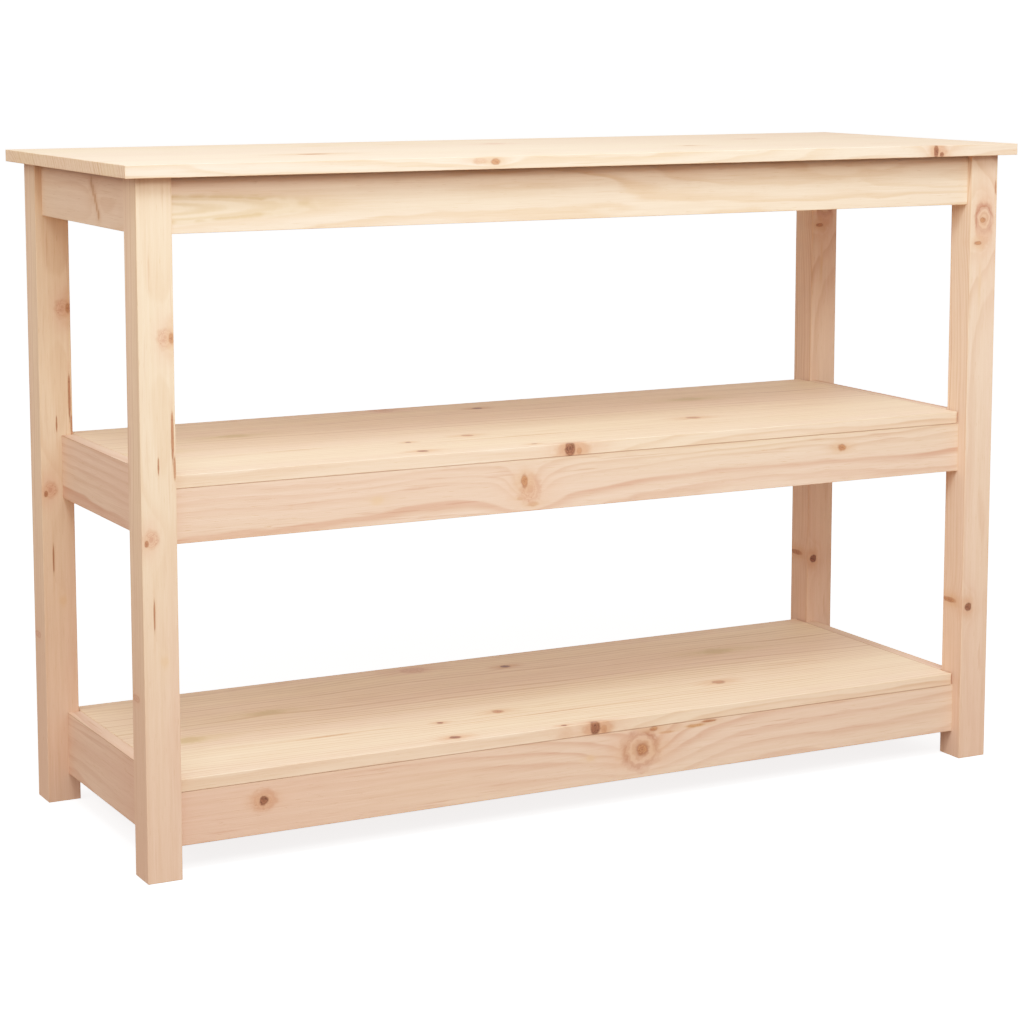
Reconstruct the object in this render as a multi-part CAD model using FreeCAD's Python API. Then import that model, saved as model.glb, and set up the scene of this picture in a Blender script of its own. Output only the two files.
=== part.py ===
import FreeCAD, Part
import os

# Potting bench: a pine tabletop on four square legs, an apron under the top and two full-length shelves.
# Millimetres. X runs along the bench with the left end at -X, Y runs from the front (-Y) to the back (+Y),
# Z is up. The origin is the centre of the footprint, on the floor.
# Aprons and rails butt against the legs on dowels. Every metal fastener is on the inside, out of sight.

# Overall size.
LENGTH = 1100.0
DEPTH = 400.0
HEIGHT = 740.0

# Tabletop and legs.
TOP_THICKNESS = 13.5
TOP_OVERHANG = 16.0
LEG_SIZE = 38.0

# Aprons under the top. Insets are measured from the legs' outer faces.
BOARD_THICKNESS = 16.0
APRON_HEIGHT = 58.0
APRON_INSET = 8.0

# Shelves. The panel lies on the front and back rails, between the taller side rails.
SHELF_SURFACES = {"middle": 421.5, "lower": 102.5}
SHELF_THICKNESS = 14.0
RAIL_HEIGHT = 57.5
RAIL_INSET = 15.0
SIDE_RAIL_INSET = 24.5

# Battens under the panels: bearers across the middle, cleats along the side rails.
BEARER_WIDTH = 40.0
BATTEN_THICKNESS = 18.0

# Radius of the eased edges.
EDGE_ROUND = 0.8

# Dowels: half of each is in the leg. A bearer's dowel goes less far into the thin board it meets.
DOWEL_LENGTH = 30.0
DOWEL_RADIUS = 4.0
THIN_DOWEL_RADIUS = 3.0
DOWEL_CHAMFER = 1.0
BEARER_DOWEL_IN_RAIL = 10.0
APRON_DOWEL_RISES = (14.0, 44.0)
RAIL_DOWEL_RISES = (14.0, 43.5)
SIDE_RAIL_DOWEL_RISES = (28.75, 58.0)

# Corner brackets of the top frame: a diagonal web between two flanges that lie on the aprons.
CORNER_BRACKET_REACH = 58.0
CORNER_BRACKET_FLANGE = 22.0
CORNER_BRACKET_HEIGHT = 40.0
PLATE_THICKNESS = 2.0
CORNER_SCREW_ALONG = 12.0
CORNER_SCREW_RISE = 12.0

# Hanger bolts, washers and nuts, size M6.
BOLT_RADIUS = 3.0
BOLT_LENGTH = 40.0
BOLT_DEPTH_IN_LEG = 24.0
BOLT_TIP = 4.0
BOLT_HOLE_RADIUS = 3.25
WASHER_RADIUS = 6.0
WASHER_THICKNESS = 1.6
NUT_ACROSS_FLATS = 10.0
NUT_HEIGHT = 5.0

# Angle brackets in the inner corners of the shelves.
ANGLE_LEG = 37.0
ANGLE_HEIGHT = 30.0
ANGLE_GAP_UNDER_BATTEN = 4.0
ANGLE_SCREWS = ((18.0, 8.0), (29.0, 22.0))

# Small angle brackets between the top and the aprons.
FIXING_LEG = 20.0
FIXING_WIDTH = 16.0
FIXING_THICKNESS = 1.5
FIXING_SCREW_ALONG = 12.0
FIXING_X = 250.0

# Screws.
SCREW_RADIUS = 1.75
SCREW_TIP = 3.0
SCREW_HEAD_RADIUS = 3.5
PAN_SCREW_LENGTH = 12.0
PAN_HEAD_HEIGHT = 2.4
SUNK_SCREW_LENGTH = 25.0
SUNK_HEAD_HEIGHT = 2.5
RECESS_WIDTH = 1.0
RECESS_LENGTH = 4.0
RECESS_DEPTH = 1.2
PLATE_HOLE_RADIUS = 2.1
CLEAT_SIDE_SCREWS_Y = (-110.0, 0.0, 110.0)
CLEAT_PANEL_SCREWS_Y = (-55.0, 55.0)
BEARER_SCREWS_Y = (-100.0, 0.0, 100.0)

# Worked out from the sizes above.
LEG_OUTER_X = LENGTH / 2 - TOP_OVERHANG
LEG_OUTER_Y = DEPTH / 2 - TOP_OVERHANG
LEG_INNER_X = LEG_OUTER_X - LEG_SIZE
LEG_INNER_Y = LEG_OUTER_Y - LEG_SIZE
TOP_UNDERSIDE = HEIGHT - TOP_THICKNESS
APRON_BOTTOM = TOP_UNDERSIDE - APRON_HEIGHT
APRON_OUTER_X = LEG_OUTER_X - APRON_INSET
APRON_OUTER_Y = LEG_OUTER_Y - APRON_INSET
APRON_INNER_X = APRON_OUTER_X - BOARD_THICKNESS
APRON_INNER_Y = APRON_OUTER_Y - BOARD_THICKNESS
RAIL_OUTER_Y = LEG_OUTER_Y - RAIL_INSET
RAIL_INNER_Y = RAIL_OUTER_Y - BOARD_THICKNESS
SIDE_RAIL_OUTER_X = LEG_OUTER_X - SIDE_RAIL_INSET
SIDE_RAIL_INNER_X = SIDE_RAIL_OUTER_X - BOARD_THICKNESS

SIDE_NAMES_X = {-1: "left", 1: "right"}
SIDE_NAMES_Y = {-1: "front", 1: "back"}
CORNERS = [(side_x, side_y) for side_y in SIDE_NAMES_Y for side_x in SIDE_NAMES_X]

X_AXIS = FreeCAD.Vector(1, 0, 0)
Y_AXIS = FreeCAD.Vector(0, 1, 0)
Z_AXIS = FreeCAD.Vector(0, 0, 1)

# Solids by node, and the holes to cut from each wooden piece.
solids = {}
holes = {}


def point(x, y, z):
    return FreeCAD.Vector(x, y, z)


def block(corner, opposite):
    """A box between two opposite corners, given in any order."""
    low = [min(a, b) for a, b in zip(corner, opposite)]
    sizes = [abs(a - b) for a, b in zip(corner, opposite)]
    return Part.makeBox(*sizes, FreeCAD.Vector(*low))


def add_board(node, corner, opposite, eased_along=None):
    """A wooden piece with eased edges: those along one axis, or all of them when no axis is given."""
    board = block(corner, opposite)
    edges = [edge for edge in board.Edges if eased_along is None or is_along(edge, eased_along)]
    solids[node] = [board.makeFillet(EDGE_ROUND, edges)]
    holes[node] = []


def is_along(edge, axis):
    start, end = [vertex.Point for vertex in edge.Vertexes]
    return (end - start).normalize().cross(axis).Length < 0.01


def add_pieces(node, shapes):
    solids.setdefault(node, []).extend(shapes)


def aimed(shape, place, direction):
    """A copy of a shape that was drawn along +Z from the origin, moved to a place and turned to a direction."""
    turned = shape.copy()
    turned.Placement = FreeCAD.Placement(place, FreeCAD.Rotation(Z_AXIS, direction))
    return turned


def turned_profile(outline):
    """A solid of revolution about Z from (radius, height) points that start and end on the axis."""
    points = [point(radius, 0, height) for radius, height in outline]
    face = Part.Face(Part.makePolygon(points + points[:1]))
    return face.revolve(FreeCAD.Vector(0, 0, 0), Z_AXIS, 360)


def leg_name(side_x, side_y):
    return f"{SIDE_NAMES_Y[side_y]}_{SIDE_NAMES_X[side_x]}_leg"


# Dowels


def add_dowel(node, start, direction, radius, boards):
    """One dowel from a start point, with a hole of the same size in each board that it joins."""
    ring = radius - DOWEL_CHAMFER
    outline = [
        (0, 0),
        (ring, 0),
        (radius, DOWEL_CHAMFER),
        (radius, DOWEL_LENGTH - DOWEL_CHAMFER),
        (ring, DOWEL_LENGTH),
        (0, DOWEL_LENGTH),
    ]
    add_pieces(node, [aimed(turned_profile(outline), start, direction)])
    hole = Part.makeCylinder(radius, DOWEL_LENGTH, start, direction)
    for board in boards:
        holes[board].append(hole)


# Screws


def with_recess(screw, head_top):
    """Cut the cross recess into a screw's head, which is drawn below the origin."""
    for across in ((RECESS_LENGTH, RECESS_WIDTH), (RECESS_WIDTH, RECESS_LENGTH)):
        corner = point(-across[0] / 2, -across[1] / 2, head_top)
        slot = Part.makeBox(across[0], across[1], RECESS_DEPTH, corner)
        screw = screw.cut(slot)
    return screw


def pan_screw():
    """A pan-head screw along +Z. The head sits on z = 0 and the thread starts there."""
    rounded = PAN_HEAD_HEIGHT / 2
    outline = [
        (0, -PAN_HEAD_HEIGHT),
        (SCREW_HEAD_RADIUS - rounded, -PAN_HEAD_HEIGHT),
        (SCREW_HEAD_RADIUS, -rounded),
        (SCREW_HEAD_RADIUS, 0),
        (SCREW_RADIUS, 0),
        (SCREW_RADIUS, PAN_SCREW_LENGTH - SCREW_TIP),
        (0, PAN_SCREW_LENGTH),
    ]
    return with_recess(turned_profile(outline), -PAN_HEAD_HEIGHT)


def sunk_screw():
    """A countersunk screw along +Z. The flat of its head is at z = 0."""
    outline = [
        (0, 0),
        (SCREW_HEAD_RADIUS, 0),
        (SCREW_RADIUS, SUNK_HEAD_HEIGHT),
        (SCREW_RADIUS, SUNK_SCREW_LENGTH - SCREW_TIP),
        (0, SUNK_SCREW_LENGTH),
    ]
    return with_recess(turned_profile(outline), 0)


PAN_SCREW = pan_screw()
SUNK_SCREW = sunk_screw()


def add_plate_screw(node, place, direction, plate, board):
    """A pan-head screw through a steel plate's face into a board behind it. Returns the plate's hole."""
    add_pieces(node, [aimed(PAN_SCREW, place, direction)])
    holes[board].append(Part.makeCylinder(SCREW_RADIUS, PAN_SCREW_LENGTH, place, direction))
    return Part.makeCylinder(PLATE_HOLE_RADIUS, plate, place, direction)


def add_sunk_screw(node, place, direction, boards):
    """A countersunk screw, flush with the first board's face, through it into the next one."""
    add_pieces(node, [aimed(SUNK_SCREW, place, direction)])
    shank = Part.makeCylinder(SCREW_RADIUS, SUNK_SCREW_LENGTH, place, direction)
    sink = Part.makeCone(SCREW_HEAD_RADIUS, SCREW_RADIUS, SUNK_HEAD_HEIGHT, place, direction)
    for board in boards:
        holes[board].append(shank)
    holes[boards[0]].append(sink)


# Legs and tabletop


def add_legs():
    for side_x, side_y in CORNERS:
        outer = (side_x * LEG_OUTER_X, side_y * LEG_OUTER_Y, 0)
        inner = (side_x * LEG_INNER_X, side_y * LEG_INNER_Y, TOP_UNDERSIDE)
        add_board(leg_name(side_x, side_y), outer, inner)


def add_tabletop():
    corner = (-LENGTH / 2, -DEPTH / 2, TOP_UNDERSIDE)
    add_board("tabletop", corner, (LENGTH / 2, DEPTH / 2, HEIGHT))


# Boards between the legs


def add_long_board(node, side_y, outer_y, bottom, height, dowel_rises):
    """An apron or rail along X between two legs, with dowels in its ends."""
    inner_y = outer_y - BOARD_THICKNESS
    corner = (-LEG_INNER_X, side_y * outer_y, bottom)
    add_board(node, corner, (LEG_INNER_X, side_y * inner_y, bottom + height), X_AXIS)
    middle_y = side_y * (outer_y + inner_y) / 2
    for side_x in SIDE_NAMES_X:
        for rise in dowel_rises:
            start = point(side_x * (LEG_INNER_X - DOWEL_LENGTH / 2), middle_y, bottom + rise)
            pair = (node, leg_name(side_x, side_y))
            add_dowel("dowels_8mm", start, X_AXIS * side_x, DOWEL_RADIUS, pair)


def add_end_board(node, side_x, outer_x, bottom, height, dowel_node, dowel_radius, dowel_rises):
    """An apron or rail along Y between two legs. Its dowels are centred on the width that meets the leg."""
    inner_x = outer_x - BOARD_THICKNESS
    corner = (side_x * outer_x, -LEG_INNER_Y, bottom)
    add_board(node, corner, (side_x * inner_x, LEG_INNER_Y, bottom + height), Y_AXIS)
    middle_x = side_x * (outer_x + max(inner_x, LEG_INNER_X)) / 2
    for side_y in SIDE_NAMES_Y:
        for rise in dowel_rises:
            start = point(middle_x, side_y * (LEG_INNER_Y - DOWEL_LENGTH / 2), bottom + rise)
            pair = (node, leg_name(side_x, side_y))
            add_dowel(dowel_node, start, Y_AXIS * side_y, dowel_radius, pair)


def add_bearer(node, panel, panel_underside, inner_y, boards):
    """A batten across the middle of a panel, doweled to the long boards and screwed up into the panel."""
    bottom = panel_underside - BATTEN_THICKNESS
    corner = (-BEARER_WIDTH / 2, -inner_y, bottom)
    add_board(node, corner, (BEARER_WIDTH / 2, inner_y, panel_underside), Y_AXIS)
    start_y = inner_y + BEARER_DOWEL_IN_RAIL - DOWEL_LENGTH
    for side_y, board in zip(SIDE_NAMES_Y, boards):
        start = point(0, side_y * start_y, bottom + BATTEN_THICKNESS / 2)
        add_dowel("dowels_6mm", start, Y_AXIS * side_y, THIN_DOWEL_RADIUS, (node, board))
    for screw_y in BEARER_SCREWS_Y:
        add_sunk_screw("bearer_screws", point(0, screw_y, bottom), Z_AXIS, (node, panel))


# Top frame


def add_aprons():
    for side_y, name in SIDE_NAMES_Y.items():
        add_long_board(f"{name}_apron", side_y, APRON_OUTER_Y, APRON_BOTTOM, APRON_HEIGHT, APRON_DOWEL_RISES)
    for side_x, name in SIDE_NAMES_X.items():
        add_end_board(
            f"{name}_apron", side_x, APRON_OUTER_X, APRON_BOTTOM, APRON_HEIGHT,
            "dowels_8mm", DOWEL_RADIUS, APRON_DOWEL_RISES,
        )
    add_bearer("top_bearer", "tabletop", TOP_UNDERSIDE, APRON_INNER_Y, ("front_apron", "back_apron"))


def add_corner_bracket(side_x, side_y):
    """A bent plate across one inner corner of the top frame, its screws, and its bolt into the leg."""
    face = APRON_INSET + BOARD_THICKNESS
    reach = CORNER_BRACKET_REACH
    end = reach + CORNER_BRACKET_FLANGE
    front = face + PLATE_THICKNESS
    bend = reach + PLATE_THICKNESS * (2 ** 0.5 - 1)
    middle = APRON_BOTTOM + APRON_HEIGHT / 2

    # Distances from the leg's outer corner, inwards along X and along Y.
    outline = [(end, face), (reach, face), (face, reach), (face, end)]
    outline += [(front, end), (front, bend), (bend, front), (end, front)]

    def at(along_x, along_y, z):
        return point(side_x * (LEG_OUTER_X - along_x), side_y * (LEG_OUTER_Y - along_y), z)

    corners = [at(x, y, middle - CORNER_BRACKET_HEIGHT / 2) for x, y in outline]
    plate = Part.Face(Part.makePolygon(corners + corners[:1])).extrude(Z_AXIS * CORNER_BRACKET_HEIGHT)

    screw_along = reach + CORNER_SCREW_ALONG
    screws = (
        (screw_along, front, Y_AXIS * side_y, f"{SIDE_NAMES_Y[side_y]}_apron"),
        (front, screw_along, X_AXIS * side_x, f"{SIDE_NAMES_X[side_x]}_apron"),
    )
    for x, y, direction, board in screws:
        for rise in (-CORNER_SCREW_RISE, CORNER_SCREW_RISE):
            place = at(x, y, middle + rise)
            hole = add_plate_screw("corner_bracket_screws", place, direction, PLATE_THICKNESS, board)
            plate = plate.cut(hole)

    inwards = point(-side_x, -side_y, 0).normalize()
    leg_corner = at(LEG_SIZE, LEG_SIZE, middle)
    bolt_start = leg_corner - inwards * BOLT_DEPTH_IN_LEG
    plate = plate.cut(Part.makeCylinder(BOLT_HOLE_RADIUS, 2 * BOLT_LENGTH, bolt_start, inwards))
    add_pieces("corner_brackets", [plate])
    holes[leg_name(side_x, side_y)].append(
        Part.makeCylinder(BOLT_RADIUS, 2 * BOLT_DEPTH_IN_LEG, bolt_start, inwards)
    )
    web_middle = (face + reach) / 2
    web_front = at(web_middle, web_middle, middle) + inwards * PLATE_THICKNESS
    add_hanger_bolt(bolt_start, web_front, inwards)


def add_hanger_bolt(bolt_start, web_front, inwards):
    """A bolt with a wood-screw point, and the washer and nut that press on the bracket's web."""
    chamfer = BOLT_RADIUS / 4
    bolt = turned_profile([
        (0, 0),
        (BOLT_RADIUS, BOLT_TIP),
        (BOLT_RADIUS, BOLT_LENGTH - chamfer),
        (BOLT_RADIUS - chamfer, BOLT_LENGTH),
        (0, BOLT_LENGTH),
    ])
    add_pieces("hanger_bolts", [aimed(bolt, bolt_start, inwards)])

    disc = Part.makeCylinder(WASHER_RADIUS, WASHER_THICKNESS)
    washer = disc.cut(Part.makeCylinder(BOLT_HOLE_RADIUS, WASHER_THICKNESS))
    add_pieces("hanger_bolt_washers", [aimed(washer, web_front, inwards)])

    hexagon_radius = NUT_ACROSS_FLATS / 3 ** 0.5
    corner = FreeCAD.Vector(hexagon_radius, 0, 0)
    corners = [FreeCAD.Rotation(Z_AXIS, 60 * step).multVec(corner) for step in range(6)]
    nut = Part.Face(Part.makePolygon(corners + corners[:1])).extrude(Z_AXIS * NUT_HEIGHT)
    nut = nut.cut(Part.makeCylinder(BOLT_RADIUS, NUT_HEIGHT))
    nut_start = web_front + inwards * WASHER_THICKNESS
    add_pieces("hanger_bolt_nuts", [aimed(nut, nut_start, inwards)])


def add_top_fixing(place, outwards, board):
    """A small angle bracket in the corner between the top's underside and an apron's inner face."""
    sideways = Z_AXIS.cross(outwards)
    corner = place - sideways * (FIXING_WIDTH / 2)

    def plate(size_in, size_down):
        outline = [
            corner,
            corner - outwards * size_in,
            corner - outwards * size_in - Z_AXIS * size_down,
            corner - Z_AXIS * size_down,
        ]
        return Part.Face(Part.makePolygon(outline + outline[:1])).extrude(sideways * FIXING_WIDTH)

    bracket = plate(FIXING_LEG, FIXING_THICKNESS).fuse(plate(FIXING_THICKNESS, FIXING_LEG)).removeSplitter()
    on_apron = place - outwards * FIXING_THICKNESS - Z_AXIS * FIXING_SCREW_ALONG
    on_top = place - outwards * FIXING_SCREW_ALONG - Z_AXIS * FIXING_THICKNESS
    for start, direction, target in ((on_apron, outwards, board), (on_top, Z_AXIS, "tabletop")):
        hole = add_plate_screw("top_fixing_screws", start, direction, FIXING_THICKNESS, target)
        bracket = bracket.cut(hole)
    add_pieces("top_fixing_brackets", [bracket])


def add_top_fixings():
    for side_y, name in SIDE_NAMES_Y.items():
        for side_x in SIDE_NAMES_X:
            place = point(side_x * FIXING_X, side_y * APRON_INNER_Y, TOP_UNDERSIDE)
            add_top_fixing(place, Y_AXIS * side_y, f"{name}_apron")
    for side_x, name in SIDE_NAMES_X.items():
        place = point(side_x * APRON_INNER_X, 0, TOP_UNDERSIDE)
        add_top_fixing(place, X_AXIS * side_x, f"{name}_apron")


# Shelves


def add_shelf(shelf, surface):
    """One shelf: a panel on two long rails and two cleats, between the taller side rails."""
    panel = f"{shelf}_shelf_panel"
    underside = surface - SHELF_THICKNESS
    bottom = underside - RAIL_HEIGHT
    corner = (-SIDE_RAIL_INNER_X, -RAIL_OUTER_Y, underside)
    add_board(panel, corner, (SIDE_RAIL_INNER_X, RAIL_OUTER_Y, surface))

    long_rails = [f"{shelf}_shelf_{name}_rail" for name in SIDE_NAMES_Y.values()]
    for side_y, rail in zip(SIDE_NAMES_Y, long_rails):
        add_long_board(rail, side_y, RAIL_OUTER_Y, bottom, RAIL_HEIGHT, RAIL_DOWEL_RISES)
    for side_x, name in SIDE_NAMES_X.items():
        rail = f"{shelf}_shelf_{name}_rail"
        add_end_board(
            rail, side_x, SIDE_RAIL_OUTER_X, bottom, RAIL_HEIGHT + SHELF_THICKNESS,
            "dowels_6mm", THIN_DOWEL_RADIUS, SIDE_RAIL_DOWEL_RISES,
        )
        add_cleat(f"{shelf}_shelf_{name}_cleat", side_x, underside, rail, panel)
    add_bearer(f"{shelf}_shelf_bearer", panel, underside, RAIL_INNER_Y, long_rails)
    for side_x, side_y in CORNERS:
        add_angle_bracket(shelf, side_x, side_y, underside)


def add_cleat(node, side_x, underside, rail, panel):
    """A batten on a side rail, screwed out into the rail and up into the panel."""
    inner_x = SIDE_RAIL_INNER_X - BATTEN_THICKNESS
    bottom = underside - BATTEN_THICKNESS
    corner = (side_x * SIDE_RAIL_INNER_X, -RAIL_INNER_Y, bottom)
    add_board(node, corner, (side_x * inner_x, RAIL_INNER_Y, underside), Y_AXIS)
    for screw_y in CLEAT_SIDE_SCREWS_Y:
        place = point(side_x * inner_x, screw_y, bottom + BATTEN_THICKNESS / 2)
        add_sunk_screw("cleat_screws", place, X_AXIS * side_x, (node, rail))
    for screw_y in CLEAT_PANEL_SCREWS_Y:
        place = point(side_x * (inner_x + BATTEN_THICKNESS / 2), screw_y, bottom)
        add_sunk_screw("cleat_screws", place, Z_AXIS, (node, panel))


def add_angle_bracket(shelf, side_x, side_y, underside):
    """A steel angle in the corner between a long rail's and a side rail's inner faces."""
    top = underside - BATTEN_THICKNESS - ANGLE_GAP_UNDER_BATTEN
    bottom = top - ANGLE_HEIGHT

    # Distances inwards from the corner of the two inner faces.
    def at(along_x, along_y, z):
        return (side_x * (SIDE_RAIL_INNER_X - along_x), side_y * (RAIL_INNER_Y - along_y), z)

    long_plate = block(at(0, 0, bottom), at(ANGLE_LEG, PLATE_THICKNESS, top))
    end_plate = block(at(0, 0, bottom), at(PLATE_THICKNESS, ANGLE_LEG, top))
    bracket = long_plate.fuse(end_plate).removeSplitter()
    long_rail = f"{shelf}_shelf_{SIDE_NAMES_Y[side_y]}_rail"
    end_rail = f"{shelf}_shelf_{SIDE_NAMES_X[side_x]}_rail"
    for along, rise in ANGLE_SCREWS:
        screws = (
            (at(along, PLATE_THICKNESS, bottom + rise), Y_AXIS * side_y, long_rail),
            (at(PLATE_THICKNESS, along, bottom + rise), X_AXIS * side_x, end_rail),
        )
        for place, direction, rail in screws:
            hole = add_plate_screw("shelf_bracket_screws", point(*place), direction, PLATE_THICKNESS, rail)
            bracket = bracket.cut(hole)
    add_pieces("shelf_angle_brackets", [bracket])


def export_all():
    os.makedirs("parts", exist_ok=True)
    for node, pieces in solids.items():
        if node in holes:
            pieces = [piece.cut(holes[node]) if holes[node] else piece for piece in pieces]
        single = [solid for piece in pieces for solid in piece.Solids]
        shape = single[0] if len(single) == 1 else Part.makeCompound(single)
        assert shape.isValid(), node
        shape.exportStep(f"parts/{node}.step")
        print(node, len(single), "solids", round(shape.Volume / 1000, 1), "cm3")


add_legs()
add_tabletop()
add_aprons()
for side_x, side_y in CORNERS:
    add_corner_bracket(side_x, side_y)
add_top_fixings()
for shelf, surface in SHELF_SURFACES.items():
    add_shelf(shelf, surface)
export_all()
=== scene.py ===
"""Looks of the pine potting bench: pine boards, zinc-plated fittings, a pale floor and soft light."""

import math
from collections import namedtuple

import bmesh
import bpy
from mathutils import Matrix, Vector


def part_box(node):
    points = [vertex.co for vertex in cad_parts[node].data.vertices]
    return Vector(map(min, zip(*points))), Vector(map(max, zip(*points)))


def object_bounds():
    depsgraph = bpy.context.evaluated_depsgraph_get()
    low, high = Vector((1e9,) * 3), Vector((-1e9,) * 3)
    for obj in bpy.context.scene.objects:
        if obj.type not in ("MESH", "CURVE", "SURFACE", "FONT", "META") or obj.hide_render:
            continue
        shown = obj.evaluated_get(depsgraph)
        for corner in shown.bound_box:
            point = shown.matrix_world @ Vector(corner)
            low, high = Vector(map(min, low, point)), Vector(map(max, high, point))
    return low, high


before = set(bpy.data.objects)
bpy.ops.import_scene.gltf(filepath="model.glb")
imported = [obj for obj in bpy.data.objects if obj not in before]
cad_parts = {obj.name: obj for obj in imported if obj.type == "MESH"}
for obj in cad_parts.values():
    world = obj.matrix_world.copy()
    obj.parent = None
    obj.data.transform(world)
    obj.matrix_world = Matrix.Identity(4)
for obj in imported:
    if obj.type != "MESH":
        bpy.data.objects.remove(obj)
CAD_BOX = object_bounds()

# --------------------------------------------------------------------------------------------------
# Viewpoint and light. Lengths are in metres, angles in degrees and the lamps' powers in watts.
# --------------------------------------------------------------------------------------------------

CAMERA_PLACE = (-1.420, -2.688, 0.872)
CAMERA_YAW = 27.58
CAMERA_PITCH = 7.51
CAMERA_LENS_MM = 93.04
CAMERA_SHIFT_Y = -0.13
CAMERA_REACH = 200.0

AreaLight = namedtuple("AreaLight", "name place target width height power colour")
LIGHTS = (
    AreaLight("key_light", (-0.28, -0.98, 1.75), (0.08, -0.10, 0.50), 1.7, 0.5, 42.0, (1.0, 1.0, 1.0)),
    AreaLight("front_fill", (-0.22, -1.50, 1.32), (0.05, -0.17, 0.45), 1.7, 0.4, 17.0, (1.0, 0.97, 0.94)),
    AreaLight("side_light", (-2.3, -0.2, 1.7), (-0.5, 0.0, 0.5), 1.6, 1.2, 17.5, (1.0, 0.88, 0.82)),
)
# A broad, weak light from the front and a little from the left: where it comes from, its power, in watts
# to the square metre, and its spread.
FRONT_LIGHT_FROM = (-0.33, -0.90, 0.28)
FRONT_LIGHT_POWER = 0.45
FRONT_LIGHT_SPREAD = 50.0

# Light from the surroundings: colour and strength below, at eye level and high above. Rise is the upward
# part of a direction, from -1 to 1.
Surround = namedtuple("Surround", "rise colour strength")
SURROUNDINGS = (
    Surround(-0.35, (1.0, 0.68, 0.57), 0.24),
    Surround(0.0, (1.0, 0.84, 0.76), 0.98),
    Surround(0.40, (1.0, 0.97, 0.94), 0.90),
)
# How bright the empty room looks to the camera.
ROOM_BRIGHTNESS = 2.2

# The brightness that comes out as full white, and how many steps the tone curve has.
FULL_WHITE = 2.0
TONE_STEPS = 8
# The curve that acts on red, green and blue together.
ALL_CHANNELS = 3

WHITE = (1.0, 1.0, 1.0, 1.0)

# --------------------------------------------------------------------------------------------------
# Timber colours, as linear red, green and blue.
# --------------------------------------------------------------------------------------------------

PALE_CREAM = (0.83, 0.60, 0.41)
STRAW = (0.79, 0.54, 0.32)
ROSE = (0.76, 0.47, 0.32)
# The colour of the painted shade at the low end of the legs and rails.
PAINTED_SHADE_ROSE = (0.69, 0.395, 0.265)
HONEY = (0.70, 0.41, 0.22)
AMBER = (0.52, 0.25, 0.11)
BARK_BROWN = (0.10, 0.038, 0.02)
OLIVE = (0.56, 0.36, 0.16)
# What the timber's colour is multiplied by on end grain, in its open pores and between them.
END_PORES = (0.93, 0.88, 0.83)
END_WOOD = (1.0, 0.98, 0.95)

# How the timber of one kind of board looks. Lengths are in metres: spacing is the width of a year's growth,
# pith is where the tree's heart lies, across and through the board from its middle, taper is how fast the
# years run out along the board, and wander is how far the grain strays. Contrast is how strongly the late
# wood shows, and tone shift how strongly broad pinker and yellower zones do. The last one is painted shade:
# how strongly the low end of the board is painted darker and redder.
Timber = namedtuple(
    "Timber", "early late spacing contrast pith taper wander tone_shift blush", defaults=(0.0,)
)

# A knot, or another mark that the grain flows round. Along, across and depth are its place from the board's
# middle, size is its radius across the board, stretch its length over its width, and through its radius
# into the board. Lift is how many times its own size it pushes the growth rings.
Knot = namedtuple(
    "Knot", "kind along across size stretch depth through lift", defaults=(1.0, 0.0, 0.05, 1.2)
)

# A darker band where a board meets its neighbour: at its top or bottom, and how far it reaches. A thin one
# is a close joint, and a wide one is painted shadow, where the tabletop's overhang shades the apron below
# it.
Seam = namedtuple("Seam", "end reach")
THIN_SEAM = 0.0009
PAINTED_OVERHANG_SHADOW = 0.0080

# What each kind of knot is painted with: its heart, its rim, its halo, how far the halo reaches in radii,
# how strongly the heart and the halo show, how soft the edge of the heart is, how ragged its outline is,
# and whether its heart is cracked. A clear mark is not painted, and only bends the grain.
KnotPaint = namedtuple(
    "KnotPaint",
    "heart rim halo reach heart_strength halo_strength softness ragged cracked",
    defaults=(True,),
)
KNOT_PAINTS = {
    "clear": None,
    "stain": KnotPaint(
        (0.68, 0.38, 0.21), HONEY, (0.72, 0.44, 0.26),
        2.4, 0.62, 0.35, 1.2, 0.9,
    ),
    "olive": KnotPaint(
        (0.52, 0.32, 0.13), OLIVE, (0.66, 0.44, 0.21),
        2.4, 0.75, 0.50, 1.2, 0.9,
    ),
    "streak": KnotPaint(
        (0.44, 0.19, 0.08), AMBER, (0.62, 0.34, 0.18),
        2.6, 0.90, 0.50, 0.8, 0.9,
    ),
    "arch": KnotPaint(
        (0.80, 0.57, 0.36), (0.52, 0.30, 0.12), (0.74, 0.50, 0.27),
        1.4, 0.76, 0.30, 0.4, 0.10, False,
    ),
    "pink": KnotPaint(
        (0.64, 0.33, 0.20), (0.42, 0.15, 0.08), (0.70, 0.39, 0.25),
        2.4, 0.70, 0.58, 0.8, 0.9,
    ),
    "ringed": KnotPaint(
        (0.67, 0.38, 0.25), (0.31, 0.10, 0.055), (0.66, 0.34, 0.21),
        1.7, 0.90, 0.65, 0.4, 0.50, False,
    ),
    "crack": KnotPaint(
        (0.38, 0.15, 0.07), (0.24, 0.085, 0.04), (0.66, 0.36, 0.21),
        2.0, 0.92, 0.55, 0.5, 0.6,
    ),
    "live": KnotPaint(
        (0.46, 0.19, 0.08), (0.25, 0.085, 0.04), (0.62, 0.32, 0.17),
        3.0, 0.95, 0.68, 0.7, 0.8,
    ),
    "dead": KnotPaint(
        (0.28, 0.10, 0.05), BARK_BROWN, (0.55, 0.25, 0.13),
        3.0, 1.0, 0.68, 0.55, 0.8,
    ),
}

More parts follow.
